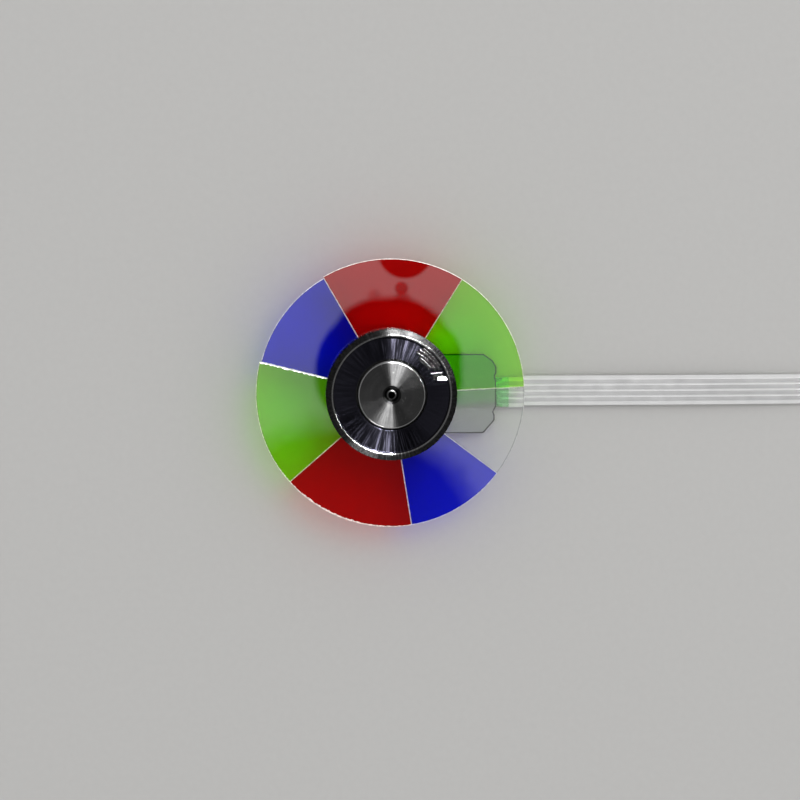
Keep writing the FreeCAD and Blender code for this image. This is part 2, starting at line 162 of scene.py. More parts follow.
# %% [markdown]
# Materials are written as sums. A Wire is one socket of a node: adding or multiplying wires
# adds the Math node that does it. A Finish holds one material's nodes, and its add method
# makes any node from its type, its settings and what goes into its sockets.

# %% Sums of sockets
class Wire:
    """A node's output that can be used in sums."""

    def __init__(self, finish, socket):
        self.finish = finish
        self.socket = socket

    def math(self, operation, first, second=0.0):
        return self.finish.add("Math", {"operation": operation}, {0: first, 1: second})[0]

    def __add__(self, other):
        return self.math("ADD", self, other)

    def __sub__(self, other):
        return self.math("SUBTRACT", self, other)

    def __rsub__(self, other):
        return self.math("SUBTRACT", other, self)

    def __mul__(self, other):
        return self.math("MULTIPLY", self, other)

    def __truediv__(self, other):
        return self.math("DIVIDE", self, other)

    def __rtruediv__(self, other):
        return self.math("DIVIDE", other, self)

    def __abs__(self):
        return self.math("ABSOLUTE", self)

    __radd__ = __add__
    __rmul__ = __mul__

    def fract(self):
        return self.math("FRACT", self)

    def root(self):
        return self.math("SQRT", self)


class Finish:
    """One material, built node by node."""

    def __init__(self, name):
        self.material = bpy.data.materials.new(name)
        self.material.use_nodes = True
        self.tree = self.material.node_tree
        self.tree.nodes.clear()

    def add(self, kind, settings=None, sockets=None):
        node = self.tree.nodes.new("ShaderNode" + kind)
        for key, value in (settings or {}).items():
            setattr(node, key, value)
        for key, value in (sockets or {}).items():
            if isinstance(value, Wire):
                self.tree.links.new(value.socket, node.inputs[key])
            else:
                node.inputs[key].default_value = value
        return [Wire(self, socket) for socket in node.outputs]

    def place(self):
        """x, y, z of the shaded point in millimetres, in the object's own space."""
        point = self.add("TexCoord")[3]
        x, y, z = self.add("SeparateXYZ", None, {0: point})
        return x * 1000.0, y * 1000.0, z * 1000.0

    def step(self, value, low, high):
        """0 below low, 1 above high, smooth between."""
        return self.add(
            "MapRange",
            {"interpolation_type": "SMOOTHSTEP"},
            {0: value, 1: low, 2: high, 3: 0.0, 4: 1.0},
        )[0]

    def grain(self, x, y, z, scale, detail=2.0, roughness=0.5):
        """Noise at a point given in millimetres, scale in grains per millimetre."""
        point = self.add("CombineXYZ", None, {0: x, 1: y, 2: z})[0]
        settings = {"noise_dimensions": "3D"}
        sockets = {"Vector": point, "Scale": scale, "Detail": detail, "Roughness": roughness}
        return self.add("TexNoise", settings, sockets)[0]

    def mix(self, share, first, second):
        """A colour between two colours."""
        settings = {"data_type": "RGBA"}
        return self.add("Mix", settings, {0: share, 6: first, 7: second})[2]

    def bump(self, height, strength, distance):
        return self.add("Bump", None, {"Strength": strength, "Distance": distance, "Height": height})[0]

    def surface(self, shader):
        self.add("OutputMaterial", None, {"Surface": shader})
        return self.material

    def principled(self, **sockets):
        named = {key.replace("_", " ").title().replace("Ior", "IOR"): v for key, v in sockets.items()}
        return self.add("BsdfPrincipled", None, named)[0]


def rgb(r, g, b):
    return (r, g, b, 1.0)


def grey(value):
    return rgb(value, value, value)


def dress(obj, material):
    obj.data.materials.clear()
    obj.data.materials.append(material)
    return obj


# %% [markdown]
# The table top is plain: one pale grey with the faintest mottling.

# %% Finish: table
def table_finish():
    f = Finish("table")
    x, y, z = f.place()
    mottle = f.grain(x, y, z, 0.9, 3.0)
    color = f.mix(mottle, rgb(0.515, 0.510, 0.500), rgb(0.545, 0.540, 0.528))
    return f.surface(f.principled(base_color=color, roughness=0.6, specular_ior_level=0.0))


dress(floor, table_finish())


def card_finish():
    """Dark shapes as (x, y, inner radius, outer radius, how bright inside)."""
    f = Finish("dark_card")
    x, y, z = f.place()
    ragged = f.grain(x, y, 0.0, 0.09, 2.0) * 7.0 - 3.5
    light = 1.0
    for cx, cy, inner, outer, left in [
        (18.2, -18.6, 22.5, 25.5, 0.0),
        (2.0, -86.0, 45.0, 57.0, 0.03),
        (23.2, 20.1, 8.0, 9.5, 0.0),
        (22.0, 8.2, 1.4, 2.8, 0.2),
        (22.4, 4.6, 1.2, 3.6, 0.35),
        (13.2, 5.6, 0.8, 3.4, 0.55),
    ]:
        dx, dy = x - cx, y - cy
        distance = (dx * dx + dy * dy).root() + ragged * (0.02 * inner)
        light = (f.step(distance, inner, outer) * (1.0 - left) + left) * light
    color = f.mix(light, grey(0.0), grey(1.0))
    return f.surface(f.add("Emission", None, {"Color": color, "Strength": CEILING})[0])


dress(card, card_finish())

# %% [markdown]
# The cable is a flat strip: four flat conductors, a millimetre apart, between two films. It
# leaves the board under the tongue, bows a little and comes down onto the table. Its line is
# a smooth curve through a few points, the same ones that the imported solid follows. The strip
# is swept along points read from that curve, so its ribs run true to the edges.

# %% The flat cable
CABLE_POINTS = [
    (0.0132, -0.00030, 0.00100),
    (0.028, -0.00030, 0.00100),
    (0.046, -0.00030, 0.00130),
    (0.063, -0.00030, 0.00110),
    (0.079, -0.00030, 0.00036),
    (0.094, -0.00030, 0.00036),
]
CABLE_W = 5.0 * MM
CABLE_T = 0.3 * MM
PITCH = 1.0 * MM
CONDUCTOR_W = 0.7 * MM
RIB = 0.006 * MM


def spline_points(name, points):
    """The points of a smooth curve through a route, as Blender works them out."""
    curve = bpy.data.curves.new(name, "CURVE")
    curve.dimensions = "3D"
    curve.resolution_u = 24
    line = curve.splines.new("NURBS")
    line.points.add(len(points) - 1)
    for spot, point in zip(line.points, points):
        spot.co = (*point, 1.0)
    line.order_u = 3
    line.use_endpoint_u = True
    guide = bpy.data.objects.new(name, curve)
    mesh = bpy.data.meshes.new_from_object(guide)
    path = [v.co.copy() for v in mesh.vertices]
    bpy.data.objects.remove(guide)
    bpy.data.meshes.remove(mesh)
    return path


def strip_section():
    """Half thickness of the strip at steps across its width: ribs over the conductors."""
    steps = []
    for i in range(101):
        y = (i / 100 - 0.5) * CABLE_W
        off = abs((y / PITCH + 3.0) % 1.0 - 0.5) * PITCH
        over = min(1.0, max(0.0, (CONDUCTOR_W / 2 + 0.08 * MM - off) / (0.12 * MM)))
        inside = abs(y) < 2.0 * MM
        steps.append((y, CABLE_T / 2 - RIB + RIB * (over if inside else 0.0)))
    return steps


def sweep_strip(name, path):
    section = strip_section()
    loop = section + [(y, -h) for y, h in reversed(section)]
    verts, faces = [], []
    for i, spot in enumerate(path):
        way = (path[min(i + 1, len(path) - 1)] - path[max(i - 1, 0)]).normalized()
        up = Vector((-way.z, 0.0, way.x))
        verts += [spot + Vector((0.0, y, 0.0)) + up * h for y, h in loop]
    n = len(loop)
    for i in range(len(path) - 1):
        for j in range(n):
            a, b = i * n + j, i * n + (j + 1) % n
            faces.append((a, a + n, b + n, b))
    faces += [tuple(range(n)), tuple(reversed(range(len(verts) - n, len(verts))))]
    return mesh_object(name, verts, faces)


cable_path = spline_points("cable_line", CABLE_POINTS)
cable = sweep_strip("cable_strip", cable_path)
for face in cable.data.polygons:
    face.use_smooth = True
cable.data.set_sharp_from_angle(angle=math.radians(50))
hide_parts("flat_cable")
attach(cable, "stator")
print("cable points along its line:", len(cable_path))

# %% [markdown]
# Turned parts are made as on a lathe: an outline of radius and height is spun about the
# axis. Every corner of the outline gets a small round first, because a real edge is never
# sharp, and it is the round that catches the light. Close beside each round sits a further
# point, which keeps the flats flat in the smooth shading.

# %% A lathe
def rounded(profile, radius, steps=4):
    """A closed outline with small rounds at its corners, each held by close points."""
    made = []
    for i, corner in enumerate(profile):
        here = Vector(corner)
        before, after = Vector(profile[i - 1]) - here, Vector(profile[(i + 1) % len(profile)]) - here
        if here.x < 1e-9:
            made.append(here)
            continue
        reach = min(radius, 0.3 * before.length, 0.3 * after.length)
        start, end = before.normalized() * reach, after.normalized() * reach
        made.append(here + start * 1.4)
        for k in range(steps + 1):
            t = k / steps
            made.append(here + start * (1 - t) ** 2 + end * t**2)
        made.append(here + end * 1.4)
    return made


def lathe(name, profile, radius=0.06, steps=192):
    """Spins a closed outline of (r, z) in millimetres. Outlines run anticlockwise, r to the right."""
    outline = rounded(profile, radius)
    verts, faces, n = [], [], len(outline)
    for i in range(steps):
        a = math.tau * i / steps
        verts += [(r * math.cos(a) * MM, r * math.sin(a) * MM, z * MM) for r, z in outline]
    for i in range(steps):
        for j in range(n):
            k, m = (j + 1) % n, (i + 1) % steps
            faces.append((i * n + j, m * n + j, m * n + k, i * n + k))
    obj = mesh_object(name, verts, faces)
    bm = bmesh.new()
    bm.from_mesh(obj.data)
    bmesh.ops.remove_doubles(bm, verts=bm.verts, dist=1e-7)
    bmesh.ops.recalc_face_normals(bm, faces=bm.faces)
    bm.to_mesh(obj.data)
    bm.free()
    for face in obj.data.polygons:
        face.use_smooth = True
    print(name, "turned with", len(obj.data.polygons), "faces")
    return obj


def stand_for(obj, node, body):
    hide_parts(node)
    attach(obj, body)
    return obj


# %% [markdown]
# The hub and the clamp ring are turned from one bar of metal. The tool leaves hair-fine
# rings, and rings like that spread a lamp's reflection into two bright fans that face each
# other across the axis, as on a compact disc or a pan lid. In Blender that is anisotropy: two
# numbers on the shader, how strong it is and which way the light is spread, here outwards.
# The rings themselves are a noise that depends on the radius alone, and handling has left
# fine scratches across them.

# %% Finish: turned metal
# how soft a zone's border is, and where the bevel and the worn part of it set in
SOFT, BEVEL_R, WORN_R = 0.02, (9.74, 9.80), (9.78, 9.90)


def turned_finish(name, light, dark, roughness, spread, lines, zones):
    """zones are (inner radius, outer radius, highest z, colour), painted in turn; the hub's hold painted
    shade and a painted highlight, the ring's a painted highlight.
    """
    f = Finish(name)
    x, y, z = f.place()
    radius = (x * x + y * y).root()
    fine = f.grain(radius, 0.0, 0.0, lines, 3.0, 0.7)
    broad = f.grain(radius, 3.0, 0.0, 1.6, 2.0)
    stain = f.grain(x, y, z, 0.35, 3.0)
    share = f.step(broad * 0.3 + fine * 0.4 + stain * 0.3, 0.35, 0.7)
    color = f.mix(share, dark, light)
    hair = f.grain(x * 3.0 + y, y * 0.5 - x, z, 1.6, 4.0, 0.7)
    scratch = f.step(hair, 0.64, 0.70) * f.step(f.grain(x, y, z, 0.45), 0.48, 0.62)
    color = f.mix(scratch * 0.5, color, grey(0.30))
    for inner, outer, top, shade in zones:
        within = 1.0 - f.step(radius, outer - SOFT, outer + SOFT)
        low = 1.0 - f.step(z, top - SOFT, top + SOFT)
        color = f.mix(f.step(radius, inner - SOFT, inner + SOFT) * within * low, color, shade)
    pits = f.step(f.grain(x, y, z, 2.2, 4.0, 0.7), 0.44, 0.60) * 0.5 + 0.42
    color = f.mix(pits * f.step(radius, *WORN_R), color, grey(0.005))
    around = f.add("Math", {"operation": "ARCTAN2"}, {0: y, 1: x})[0]
    streak = f.step(f.grain(around, radius * 0.004, 0.0, 42.0, 2.0, 0.6), 0.47, 0.66)
    rough = roughness + fine * 0.02 + scratch * 0.1 + streak * spread
    rough = rough + f.step(radius, *BEVEL_R) * 0.10
    normal = f.bump(fine + scratch * 0.4, 0.15, 0.000005)
    spread_out = {"anisotropic": 1.0, "anisotropic_rotation": 0.25}
    looks = {"base_color": color, "metallic": 1.0, "roughness": rough, "normal": normal}
    return f.surface(f.principled(**looks, **spread_out))


# %% [markdown]
# The hub carries everything that turns: a flange under the glass, a wall that centres it, a
# boss and a small counterbore round the shaft. All of it is one outline on the lathe. Two
# zones get painted colour: the counterbore's floor is painted near black as painted shade,
# and the boss's outer edge is painted bright as a painted highlight.

# %% Hub, with its boss and the counterbore round the shaft
HUB_OUTLINE = [
    (1.0, 6.3),
    (3.0, 6.3),
    (3.0, 7.1),
    (10.37, 7.1),
    (10.37, 7.9),
    (8.5, 7.9),
    (8.5, 8.8),
    (5.46, 8.8),
    (5.46, 11.80),
    (5.31, 11.95),
    (1.5, 11.95),
    (1.5, 11.25),
    (1.2, 11.25),
    (1.0, 11.05),
]
hub = stand_for(lathe("hub_turned", HUB_OUTLINE), "rotor_hub", "rotor")
# painted shade: the counterbore's floor near black; painted highlight: the boss's outer edge bright
HUB_PAINTED_SHADE_AND_HIGHLIGHT = [(0.9, 1.49, 11.94, grey(0.008)), (5.28, 5.46, 13.0, grey(0.20))]
hub_metal = turned_finish("hub_metal", grey(0.036), grey(0.022), 0.172, 0.04, 14.0, HUB_PAINTED_SHADE_AND_HIGHLIGHT)
dress(hub, hub_metal)

# %% [markdown]
# The clamp ring holds the glass down from above and closes the hub. Its wide channel takes
# the balance glue, and its outer bevel runs up to a narrow crest. The crest is a real little
# curve in the outline and not a bump in the material, because it has to catch a lamp all
# the way round. Its inner wall and crest are also painted lighter, a painted highlight.

# %% Clamp ring, with its channel and bevelled rim
RING_OUTLINE = [
    (5.84, 9.10),
    (10.67, 9.10),
    (10.67, 11.55),
    (9.74, 12.00),
    (9.66, 12.00),
    (9.53, 11.955),
    (9.48, 11.85),
    (9.40, 11.15),
    (5.84, 11.15),
]
ring = stand_for(lathe("ring_turned", RING_OUTLINE, 0.05), "clamp_ring", "rotor")
# the channel floor is darker and bluer; the inner wall and crest are painted lighter as a painted highlight
RING_FLOOR_AND_PAINTED_CREST = [
    (5.0, 9.50, 11.90, rgb(0.0110, 0.0108, 0.0150)),
    (9.50, 9.76, 13.0, grey(0.075)),
]
ring_metal = turned_finish("ring_metal", grey(0.024), grey(0.015), 0.10, 0.12, 11.0, RING_FLOOR_AND_PAINTED_CREST)
dress(ring, ring_metal)

# %% [markdown]
# The shaft's end stands in the counterbore. It is ground flat in the middle and rounded
# towards its side, and the round mirrors the lamps as a small crescent.

# %% Shaft end
SHAFT_OUTLINE = [
    (0.0, 1.13),
    (0.75, 1.13),
    (1.0, 1.38),
    (1.0, 11.00),
    (0.97, 11.14),
    (0.88, 11.26),
    (0.74, 11.34),
    (0.58, 11.37),
    (0.0, 11.37),
]

# %% [markdown]
# Each filter is a slab of glass with a coating thinner than a wavelength of light, which
# lets one band of colour through. Light that crosses it twice, down to the table and back,
# comes out deeply coloured. Lamplight that falls through such a coating at a slant shifts
# towards blue, so those rays get a tint of their own, and the glass doesn't bend them, which
# keeps speckles of lamplight off the table. The edges are ground, so they
# scatter light instead of letting it through, and that draws the fine bright lines between
# neighbours. Inside the rim and beside each joint a dark line is painted into the glass's
# colour, painted shade where the edge would shut the light off.

# %% Finish: coated glass
def glass_finish(name, tint, slant, mirror, outer, start, end):
    f = Finish(name)
    x, y, z = f.place()
    haze = f.grain(x, y, z, 0.22, 4.0, 0.6)
    deep = tuple(c * 0.88 for c in tint)
    color = f.mix(haze, rgb(*tint), rgb(*deep))
    # painted shade: a dark band inside the rim and beside both joints, mixed into the colour below
    edge = f.step((x * x + y * y).root(), outer - 0.26, outer - 0.14)
    for degrees, side in ((start, 1.0), (end, -1.0)):
        a = math.radians(degrees)
        inwards = (y * math.cos(a) - x * math.sin(a)) * side
        edge = edge + (1.0 - f.step(inwards, 0.10, 0.20))
    color = f.mix(f.step(edge, 0.0, 1.0) * 0.75, color, rgb(*(c * 0.2 for c in tint)))
    body = f.principled(
        base_color=color, roughness=0.0, ior=1.62, specular_ior_level=mirror, transmission_weight=1.0
    )
    straight, slanted = (
        f.add("BsdfTransparent", None, {"Color": rgb(*(math.sqrt(c) for c in band))})[0]
        for band in (tint, slant)
    )
    rays = f.add("LightPath")
    thin = f.add("MixShader", None, {0: rays[1], 1: straight, 2: slanted})[0]
    soft = rays[1].math("MAXIMUM", rays[1], rays[1].math("MAXIMUM", rays[2], rays[3]))
    return f.surface(f.add("MixShader", None, {0: soft, 1: body, 2: thin})[0])


def ground_finish(name, pale):
    f = Finish(name)
    x, y, z = f.place()
    chips = f.step(f.grain(x, y, z, 2.2, 3.0, 0.7), 0.42, 0.58)
    color = f.mix(chips, rgb(*(0.6 * c for c in pale)), rgb(*pale))
    return f.surface(f.principled(base_color=color, roughness=0.5, ior=1.5, transmission_weight=0.1))


# tint seen straight through, tint for lamps at a slant, colour of the ground edge, how much
# its face mirrors: the clear one has a coating against reflections
KINDS = {
    "red": ((0.76, 0.007, 0.007), (0.80, 0.05, 0.01), (0.95, 0.78, 0.70), 0.8),
    "blue": ((0.012, 0.022, 0.97), (0.06, 0.02, 0.92), (0.72, 0.72, 0.92), 0.8),
    "green": ((0.37, 0.98, 0.014), (0.06, 0.85, 0.10), (0.78, 0.86, 0.50), 0.8),
    "clear": ((0.91, 0.92, 0.90), (0.91, 0.92, 0.90), (0.50, 0.52, 0.50), 0.2),
}
GROUND = {kind: ground_finish(kind + "_ground_edge", looks[2]) for kind, looks in KINDS.items()}

# %% [markdown]
# A segment is drawn as a flat outline, pulled up to a slab, and its edges are bevelled by a
# hair. Then single points at the rim and at three of the joints are moved by small random
# steps, as glass chips where it is cut and handled. A plain bevel would look moulded.

# %% Glass segments
GLASS_R0, GLASS_R1 = 8.6, 22.0
GLASS_Z0, GLASS_Z1 = 8.0, 9.0
JOINT_GAP = 0.06
ARRIS = 0.045
SEGMENTS = {
    "green_segment_right": (2.5, 58.0, "green"),
    "red_segment_top": (58.0, 120.0, "red"),
    "blue_segment_upper": (120.0, 166.0, "blue"),
    "green_segment_left": (166.0, 221.0, "green"),
    "red_segment_lower": (221.0, 279.0, "red"),
    "blue_segment_lower": (279.0, 323.0, "blue"),
    "clear_segment": (323.0, 362.5, "clear"),
}

# segments cut short at the rim, in millimetres
SHORT = {"blue_segment_upper": 0.25}
SIDE_STEPS = 48
# joints with chipped edges: degrees, deepest chip
CHIPPED = {
    "blue_segment_upper": (166.0, 0.10),
    "green_segment_left": (166.0, 0.18),
    "green_segment_right": (2.5, 0.09),
}


def segment_outline(start, end, outer):
    """The slab's outline seen from above: outer arc, side, inner arc back, side."""
    count = int((end - start) / 0.75)
    places = [(outer, i / count) for i in range(count + 1)]
    places += [(outer + (GLASS_R0 - outer) * k / SIDE_STEPS, 1.0) for k in range(1, SIDE_STEPS)]
    places += [(GLASS_R0, 1.0 - i / count) for i in range(count + 1)]
    places += [(GLASS_R0 + (outer - GLASS_R0) * k / SIDE_STEPS, 0.0) for k in range(1, SIDE_STEPS)]
    outline = []
    for r, share in places:
        inset = math.degrees(math.asin(JOINT_GAP / 2 / r))
        a = math.radians(start + inset + (end - start - 2 * inset) * share)
        outline.append(Vector((r * math.cos(a), r * math.sin(a), 0.0)))
    return outline


def wear(degrees, middle, width):
    return math.exp(-(((degrees - middle) / width) ** 2))


def glass_segment(name, start, end, outer, joint, depth, seed):
    outline = segment_outline(start, end, outer)
    n = len(outline)
    bm = bmesh.new()
    low = [bm.verts.new((p.x * MM, p.y * MM, GLASS_Z0 * MM)) for p in outline]
    high = [bm.verts.new((p.x * MM, p.y * MM, GLASS_Z1 * MM)) for p in outline]
    bm.faces.new(high)
    bm.faces.new(low[::-1])
    for i in range(n):
        j = (i + 1) % n
        bm.faces.new((low[i], low[j], high[j], high[i]))
    bm.normal_update()
    rim = [e for e in bm.edges if e.calc_face_angle() > math.radians(40)]
    bmesh.ops.bevel(bm, geom=rim, offset=ARRIS * MM, segments=1, affect="EDGES")
    bm.normal_update()
    for face in bm.faces:
        face.material_index = 0 if abs(face.normal.z) > 0.99 else 1
    rng = random.Random(seed)
    for v in bm.verts:
        r = math.hypot(v.co.x, v.co.y)
        angle = math.degrees(math.atan2(v.co.y, v.co.x)) % 360.0
        worn = wear(angle, 243.0, 24.0)
        chip = rng.random()
        a = math.radians(joint)
        beside = v.co.y * math.cos(a) - v.co.x * math.sin(a)
        if abs(beside) < 0.2 * MM and v.co.z > (GLASS_Z1 - 0.01) * MM:
            away = math.copysign(depth * (0.2 + 0.8 * chip**2) * MM, beside)
            v.co.xy += Vector((-math.sin(a), math.cos(a))) * away
        if r > (outer - 0.2) * MM and v.co.z > (GLASS_Z1 - 0.01) * MM:
            v.co.xy *= 1.0 - (0.03 + 0.03 * chip + worn * (0.10 + 0.17 * chip)) * MM / r
        elif r > (outer - 0.2) * MM and v.co.z > GLASS_Z0 * MM + 0.5 * MM:
            v.co.xy *= 1.0 - worn * 0.04 * chip * MM / r
    obj = link(bpy.data.objects.new(name, bpy.data.meshes.new(name)))
    bm.to_mesh(obj.data)
    bm.free()
    return obj


for number, (node, (start, end, kind)) in enumerate(SEGMENTS.items()):
    outer = GLASS_R1 - SHORT.get(node, 0.0)
    joint, depth = CHIPPED.get(node, (end, 0.02))
    slab = glass_segment("glass_" + node, start, end, outer, joint, depth, number)
    tint, slant, pale, mirror = KINDS[kind]
    slab.data.materials.append(glass_finish(node + "_glass", tint, slant, mirror, outer, start, end))
    slab.data.materials.append(GROUND[kind])
    stand_for(slab, node, "rotor")
print("glass segments:", len(SEGMENTS), "over", sum(e - s for s, e, k in SEGMENTS.values()), "degrees")

# %% [markdown]
# The balance glue lies in the ring's channel, where the balancing machine asked for weight:
# three long beads that follow the channel, one laid across their end, and a last short one,
# whose top was wiped flat and mirrors a lamp. A bead has an arched cross section, which is
# carried along its line and shrinks to nothing at both ends. A little noise makes it as
# uneven as a thing laid by hand.

# %% Balance glue
GLUE_Z = 11.15
GLUE_R1 = 9.39
BEAD_STEPS, ARCH_STEPS = 48, 20
# each bead: radius and degrees of its start and of its end, half width, height
BEADS = [
    (9.14, 57.0, 9.12, 30.0, 0.21, 0.46),
    (8.62, 59.5, 8.74, 26.5, 0.25, 0.56),
    (8.06, 60.0, 8.18, 28.0, 0.26, 0.50),
    (7.45, 53.0, 7.55, 33.0, 0.30, 0.12),
    (7.05, 28.4, 9.15, 22.6, 0.24, 0.46),
    (7.85, 18.8, 9.20, 16.8, 0.44, 0.17),
    (7.30, 22.0, 8.90, 19.6, 0.45, 0.08),
]

# the last drop's flat top: where it is, its half sides, its height and how it slopes
FACET_AT, FACET, FACET_TOP = (8.25, 2.63), (0.70, 0.25), 0.30
FACET_WAY, FACET_SLOPE = Vector((0.276, 0.961)), math.tan(math.radians(14.0))


def polar(r, degrees):
    return Vector((r * math.cos(math.radians(degrees)), r * math.sin(math.radians(degrees))))


def bead_rings(r0, a0, r1, a1, half_width, top):
    """Arched cross sections along a bead, drawn in to nothing at both ends."""
    length = (polar(r1, a1) - polar(r0, a0)).length
    rings = []
    for i in range(BEAD_STEPS + 1):
        t = i / BEAD_STEPS
        to_end = length * min(t, 1.0 - t) / half_width
        swell = math.sqrt(max(0.0, 1.0 - (1.0 - min(1.0, to_end)) ** 2)) + 0.01
        here = polar(r0 + (r1 - r0) * t, a0 + (a1 - a0) * t)
        near = polar(r0 + (r1 - r0) * (t + 0.01), a0 + (a1 - a0) * (t + 0.01))
        way = (near - here).normalized()
        wobble = noise.noise(Vector((here.x * 0.8, here.y * 0.8, top)))
        width = half_width * swell * (1.0 + 0.10 * wobble)
        height = top * swell * (1.0 + 0.08 * wobble)
        ring = []
        for k in range(ARCH_STEPS + 1):
            a = math.pi * k / ARCH_STEPS
            spot = here + Vector((-way.y, way.x)) * width * math.cos(a)
            spot *= min(1.0, GLUE_R1 / spot.length)
            ring.append((spot.x * MM, spot.y * MM, (GLUE_Z - 0.02 + height * math.sin(a) ** 0.8) * MM))
        rings.append(ring)
    return rings


def glue_facet():
    """The last drop's flat top, wiped at a slant towards the lamps: its foot and its top."""
    (cx, cy), (half_x, half_y), top = FACET_AT, FACET, []
    foot = []
    for dx, dy in ((-half_x, -half_y), (half_x, -half_y), (half_x, half_y), (-half_x, half_y)):
        spot = Vector((cx + dx, cy + dy))
        spot *= min(1.0, GLUE_R1 / spot.length)
        fall = ((spot.x - cx) * FACET_WAY.x + (spot.y - cy) * FACET_WAY.y) * FACET_SLOPE
        foot.append((spot.x * MM, spot.y * MM, GLUE_Z * MM))
        top.append((spot.x * MM, spot.y * MM, (GLUE_Z + FACET_TOP - fall) * MM))
    return foot + top


def glue_beads(name):
    verts, faces, n = [], [], ARCH_STEPS + 1
    for bead in BEADS:
        first = len(verts)
        for ring in bead_rings(*bead):
            verts += ring
        for i in range(BEAD_STEPS):
            for k in range(n):
                u, m = first + i * n, (k + 1) % n
                faces.append((u + k, u + m, u + n + m, u + n + k))
        faces.append(tuple(first + k for k in reversed(range(n))))
        faces.append(tuple(len(verts) - n + k for k in range(n)))
    u = len(verts)
    verts += glue_facet()
    faces += [(u + 3, u + 2, u + 1, u), (u + 4, u + 5, u + 6, u + 7)]
    faces += [(u + k, u + (k + 1) % 4, u + 4 + (k + 1) % 4, u + 4 + k) for k in range(4)]
    obj = mesh_object(name, verts, faces)
    bm = bmesh.new()
    bm.from_mesh(obj.data)
    bmesh.ops.recalc_face_normals(bm, faces=bm.faces)
    bm.to_mesh(obj.data)
    bm.free()
    for face in obj.data.polygons:
        face.use_smooth = True
    obj.data.set_sharp_from_angle(angle=math.radians(60))
    return obj


def glue_finish():
    f = Finish("cured_glue")
    x, y, z = f.place()
    cloud = f.grain(x, y, z, 1.1, 3.0)
    color = f.mix(cloud, grey(0.003), grey(0.008))
    skin = f.grain(x, y, z, 3.0, 2.0)
    rough = 0.13 + f.step(cloud, 0.5, 0.8) * 0.06
    normal = f.bump(skin, 0.02, 0.00004)
    return f.surface(f.principled(base_color=color, roughness=rough, specular_ior_level=0.5, normal=normal))


glue = stand_for(glue_beads("glue_beads"), "balance_glue", "rotor")
dress(glue, glue_finish())
print("glue tops out at", round(max(v.co.z for v in glue.data.vertices) * 1000, 2), "mm")

# %% [markdown]
# The base plate is stamped from sheet metal: a disc with a tongue that holds the cable.
# Punching rounds the edges. The plate's outline is drawn at six heights, a little smaller at
# the top and the bottom one, and walls join them. The flat faces then fill the outline,
# round its holes. They are shaded flat, because smooth shading would tilt them at the rim.

# %% A plate from an outline
def inset(outline, reach):
    """An anticlockwise outline moved inwards, each corner along its mitre."""
    moved = []
    for i, corner in enumerate(outline):
        here = Vector(corner)
        first = (here - Vector(outline[i - 1])).normalized()
        second = (Vector(outline[(i + 1) % len(outline)]) - here).normalized()
        inwards = Vector((-first.y - second.y, first.x + second.x)).normalized()
        moved.append(here + inwards * reach / max(0.4, inwards.dot(Vector((-first.y, first.x)))))
    return moved


def plate(name, outer, holes, z0, z1, edge):
    """A flat plate in millimetres from an outline and holes, with eased edges."""
    levels = [(z1, edge), (z1 - 0.2 * edge, 0.2 * edge), (z1 - 0.6 * edge, 0.0)]
    levels += [(z0 + 0.6 * edge, 0.0), (z0 + 0.2 * edge, 0.2 * edge), (z0, edge)]
    bm = bmesh.new()
    rims = {z0: [], z1: []}
    for outline, side in [(outer, 1.0)] + [(hole, -1.0) for hole in holes]:
        rings = []
        for z, reach in levels:
            rings.append([bm.verts.new((p.x * MM, p.y * MM, z * MM)) for p in inset(outline, reach * side)])
        for upper, lower in zip(rings, rings[1:]):
            for i in range(len(upper)):
                bm.faces.new((lower[i - 1], lower[i], upper[i], upper[i - 1]))
        for z, ring in ((z1, rings[0]), (z0, rings[-1])):
            rims[z] += [bm.edges.get((ring[i - 1], ring[i])) for i in range(len(ring))]
    for edges in rims.values():
        bmesh.ops.triangle_fill(bm, use_beauty=True, edges=edges)
    bmesh.ops.recalc_face_normals(bm, faces=bm.faces)
    obj = link(bpy.data.objects.new(name, bpy.data.meshes.new(name)))
    bm.to_mesh(obj.data)
    bm.free()
    for face in obj.data.polygons:
        face.use_smooth = True
    obj.data.set_sharp_from_angle(angle=math.radians(60))
    for face in obj.data.polygons:
        face.use_smooth = abs(face.normal.z) < 0.999
    print(name, "has", len(obj.data.polygons), "faces")
    return obj


def arc(cx, cy, r, start, end, step=3.0):
    count = max(2, int(abs(end - start) / step))
    angles = [math.radians(start + (end - start) * i / count) for i in range(count + 1)]
    return [(cx + r * math.cos(a), cy + r * math.sin(a)) for a in angles]


# %% [markdown]
# The real plate is stamped steel with a dull grey coat. The tongue has a cut corner, two
# nicks that a fixture grips, and a corner cut in two facets. The disc carries three tapped
# holes, a window for the leads and the hole that the bearing holder is staked into.

# %% Base plate
PLATE_R = 10.0
TONGUE_X, TONGUE_Y0, TONGUE_Y1 = 17.85, -7.05, 6.15
CORNER, BULGE, STEP_BACK = 2.15, (0.62, 1.08), 0.27
SMALL_Y, SMALL = 2.35, 0.22
LARGE_Y, LARGE = -3.5, 0.49


def plate_outline():
    """A disc and its tongue: cut corner, deep nick, small nick, corner cut in two facets."""
    y0, y1, x1, c = TONGUE_Y0, TONGUE_Y1, TONGUE_X, CORNER
    start = math.degrees(math.asin(y1 / PLATE_R))
    end = 360.0 + math.degrees(math.asin(y0 / PLATE_R))
    disc = arc(0, 0, PLATE_R, start, end)
    tongue = [
        (x1 - c, y0),
        (x1 - STEP_BACK, y0 + c),
        (x1 - STEP_BACK, LARGE_Y - LARGE),
        (x1 - LARGE, LARGE_Y),
        (x1, LARGE_Y + 2 * LARGE),
        (x1, SMALL_Y - 3 * SMALL),
        (x1 - SMALL, SMALL_Y - SMALL),
        (x1 - SMALL, SMALL_Y + SMALL),
        (x1, SMALL_Y + 3 * SMALL),
        (x1, y1 - c),
        (x1 - BULGE[0], y1 - BULGE[1]),
        (x1 - c, y1),
    ]
    return tongue + disc


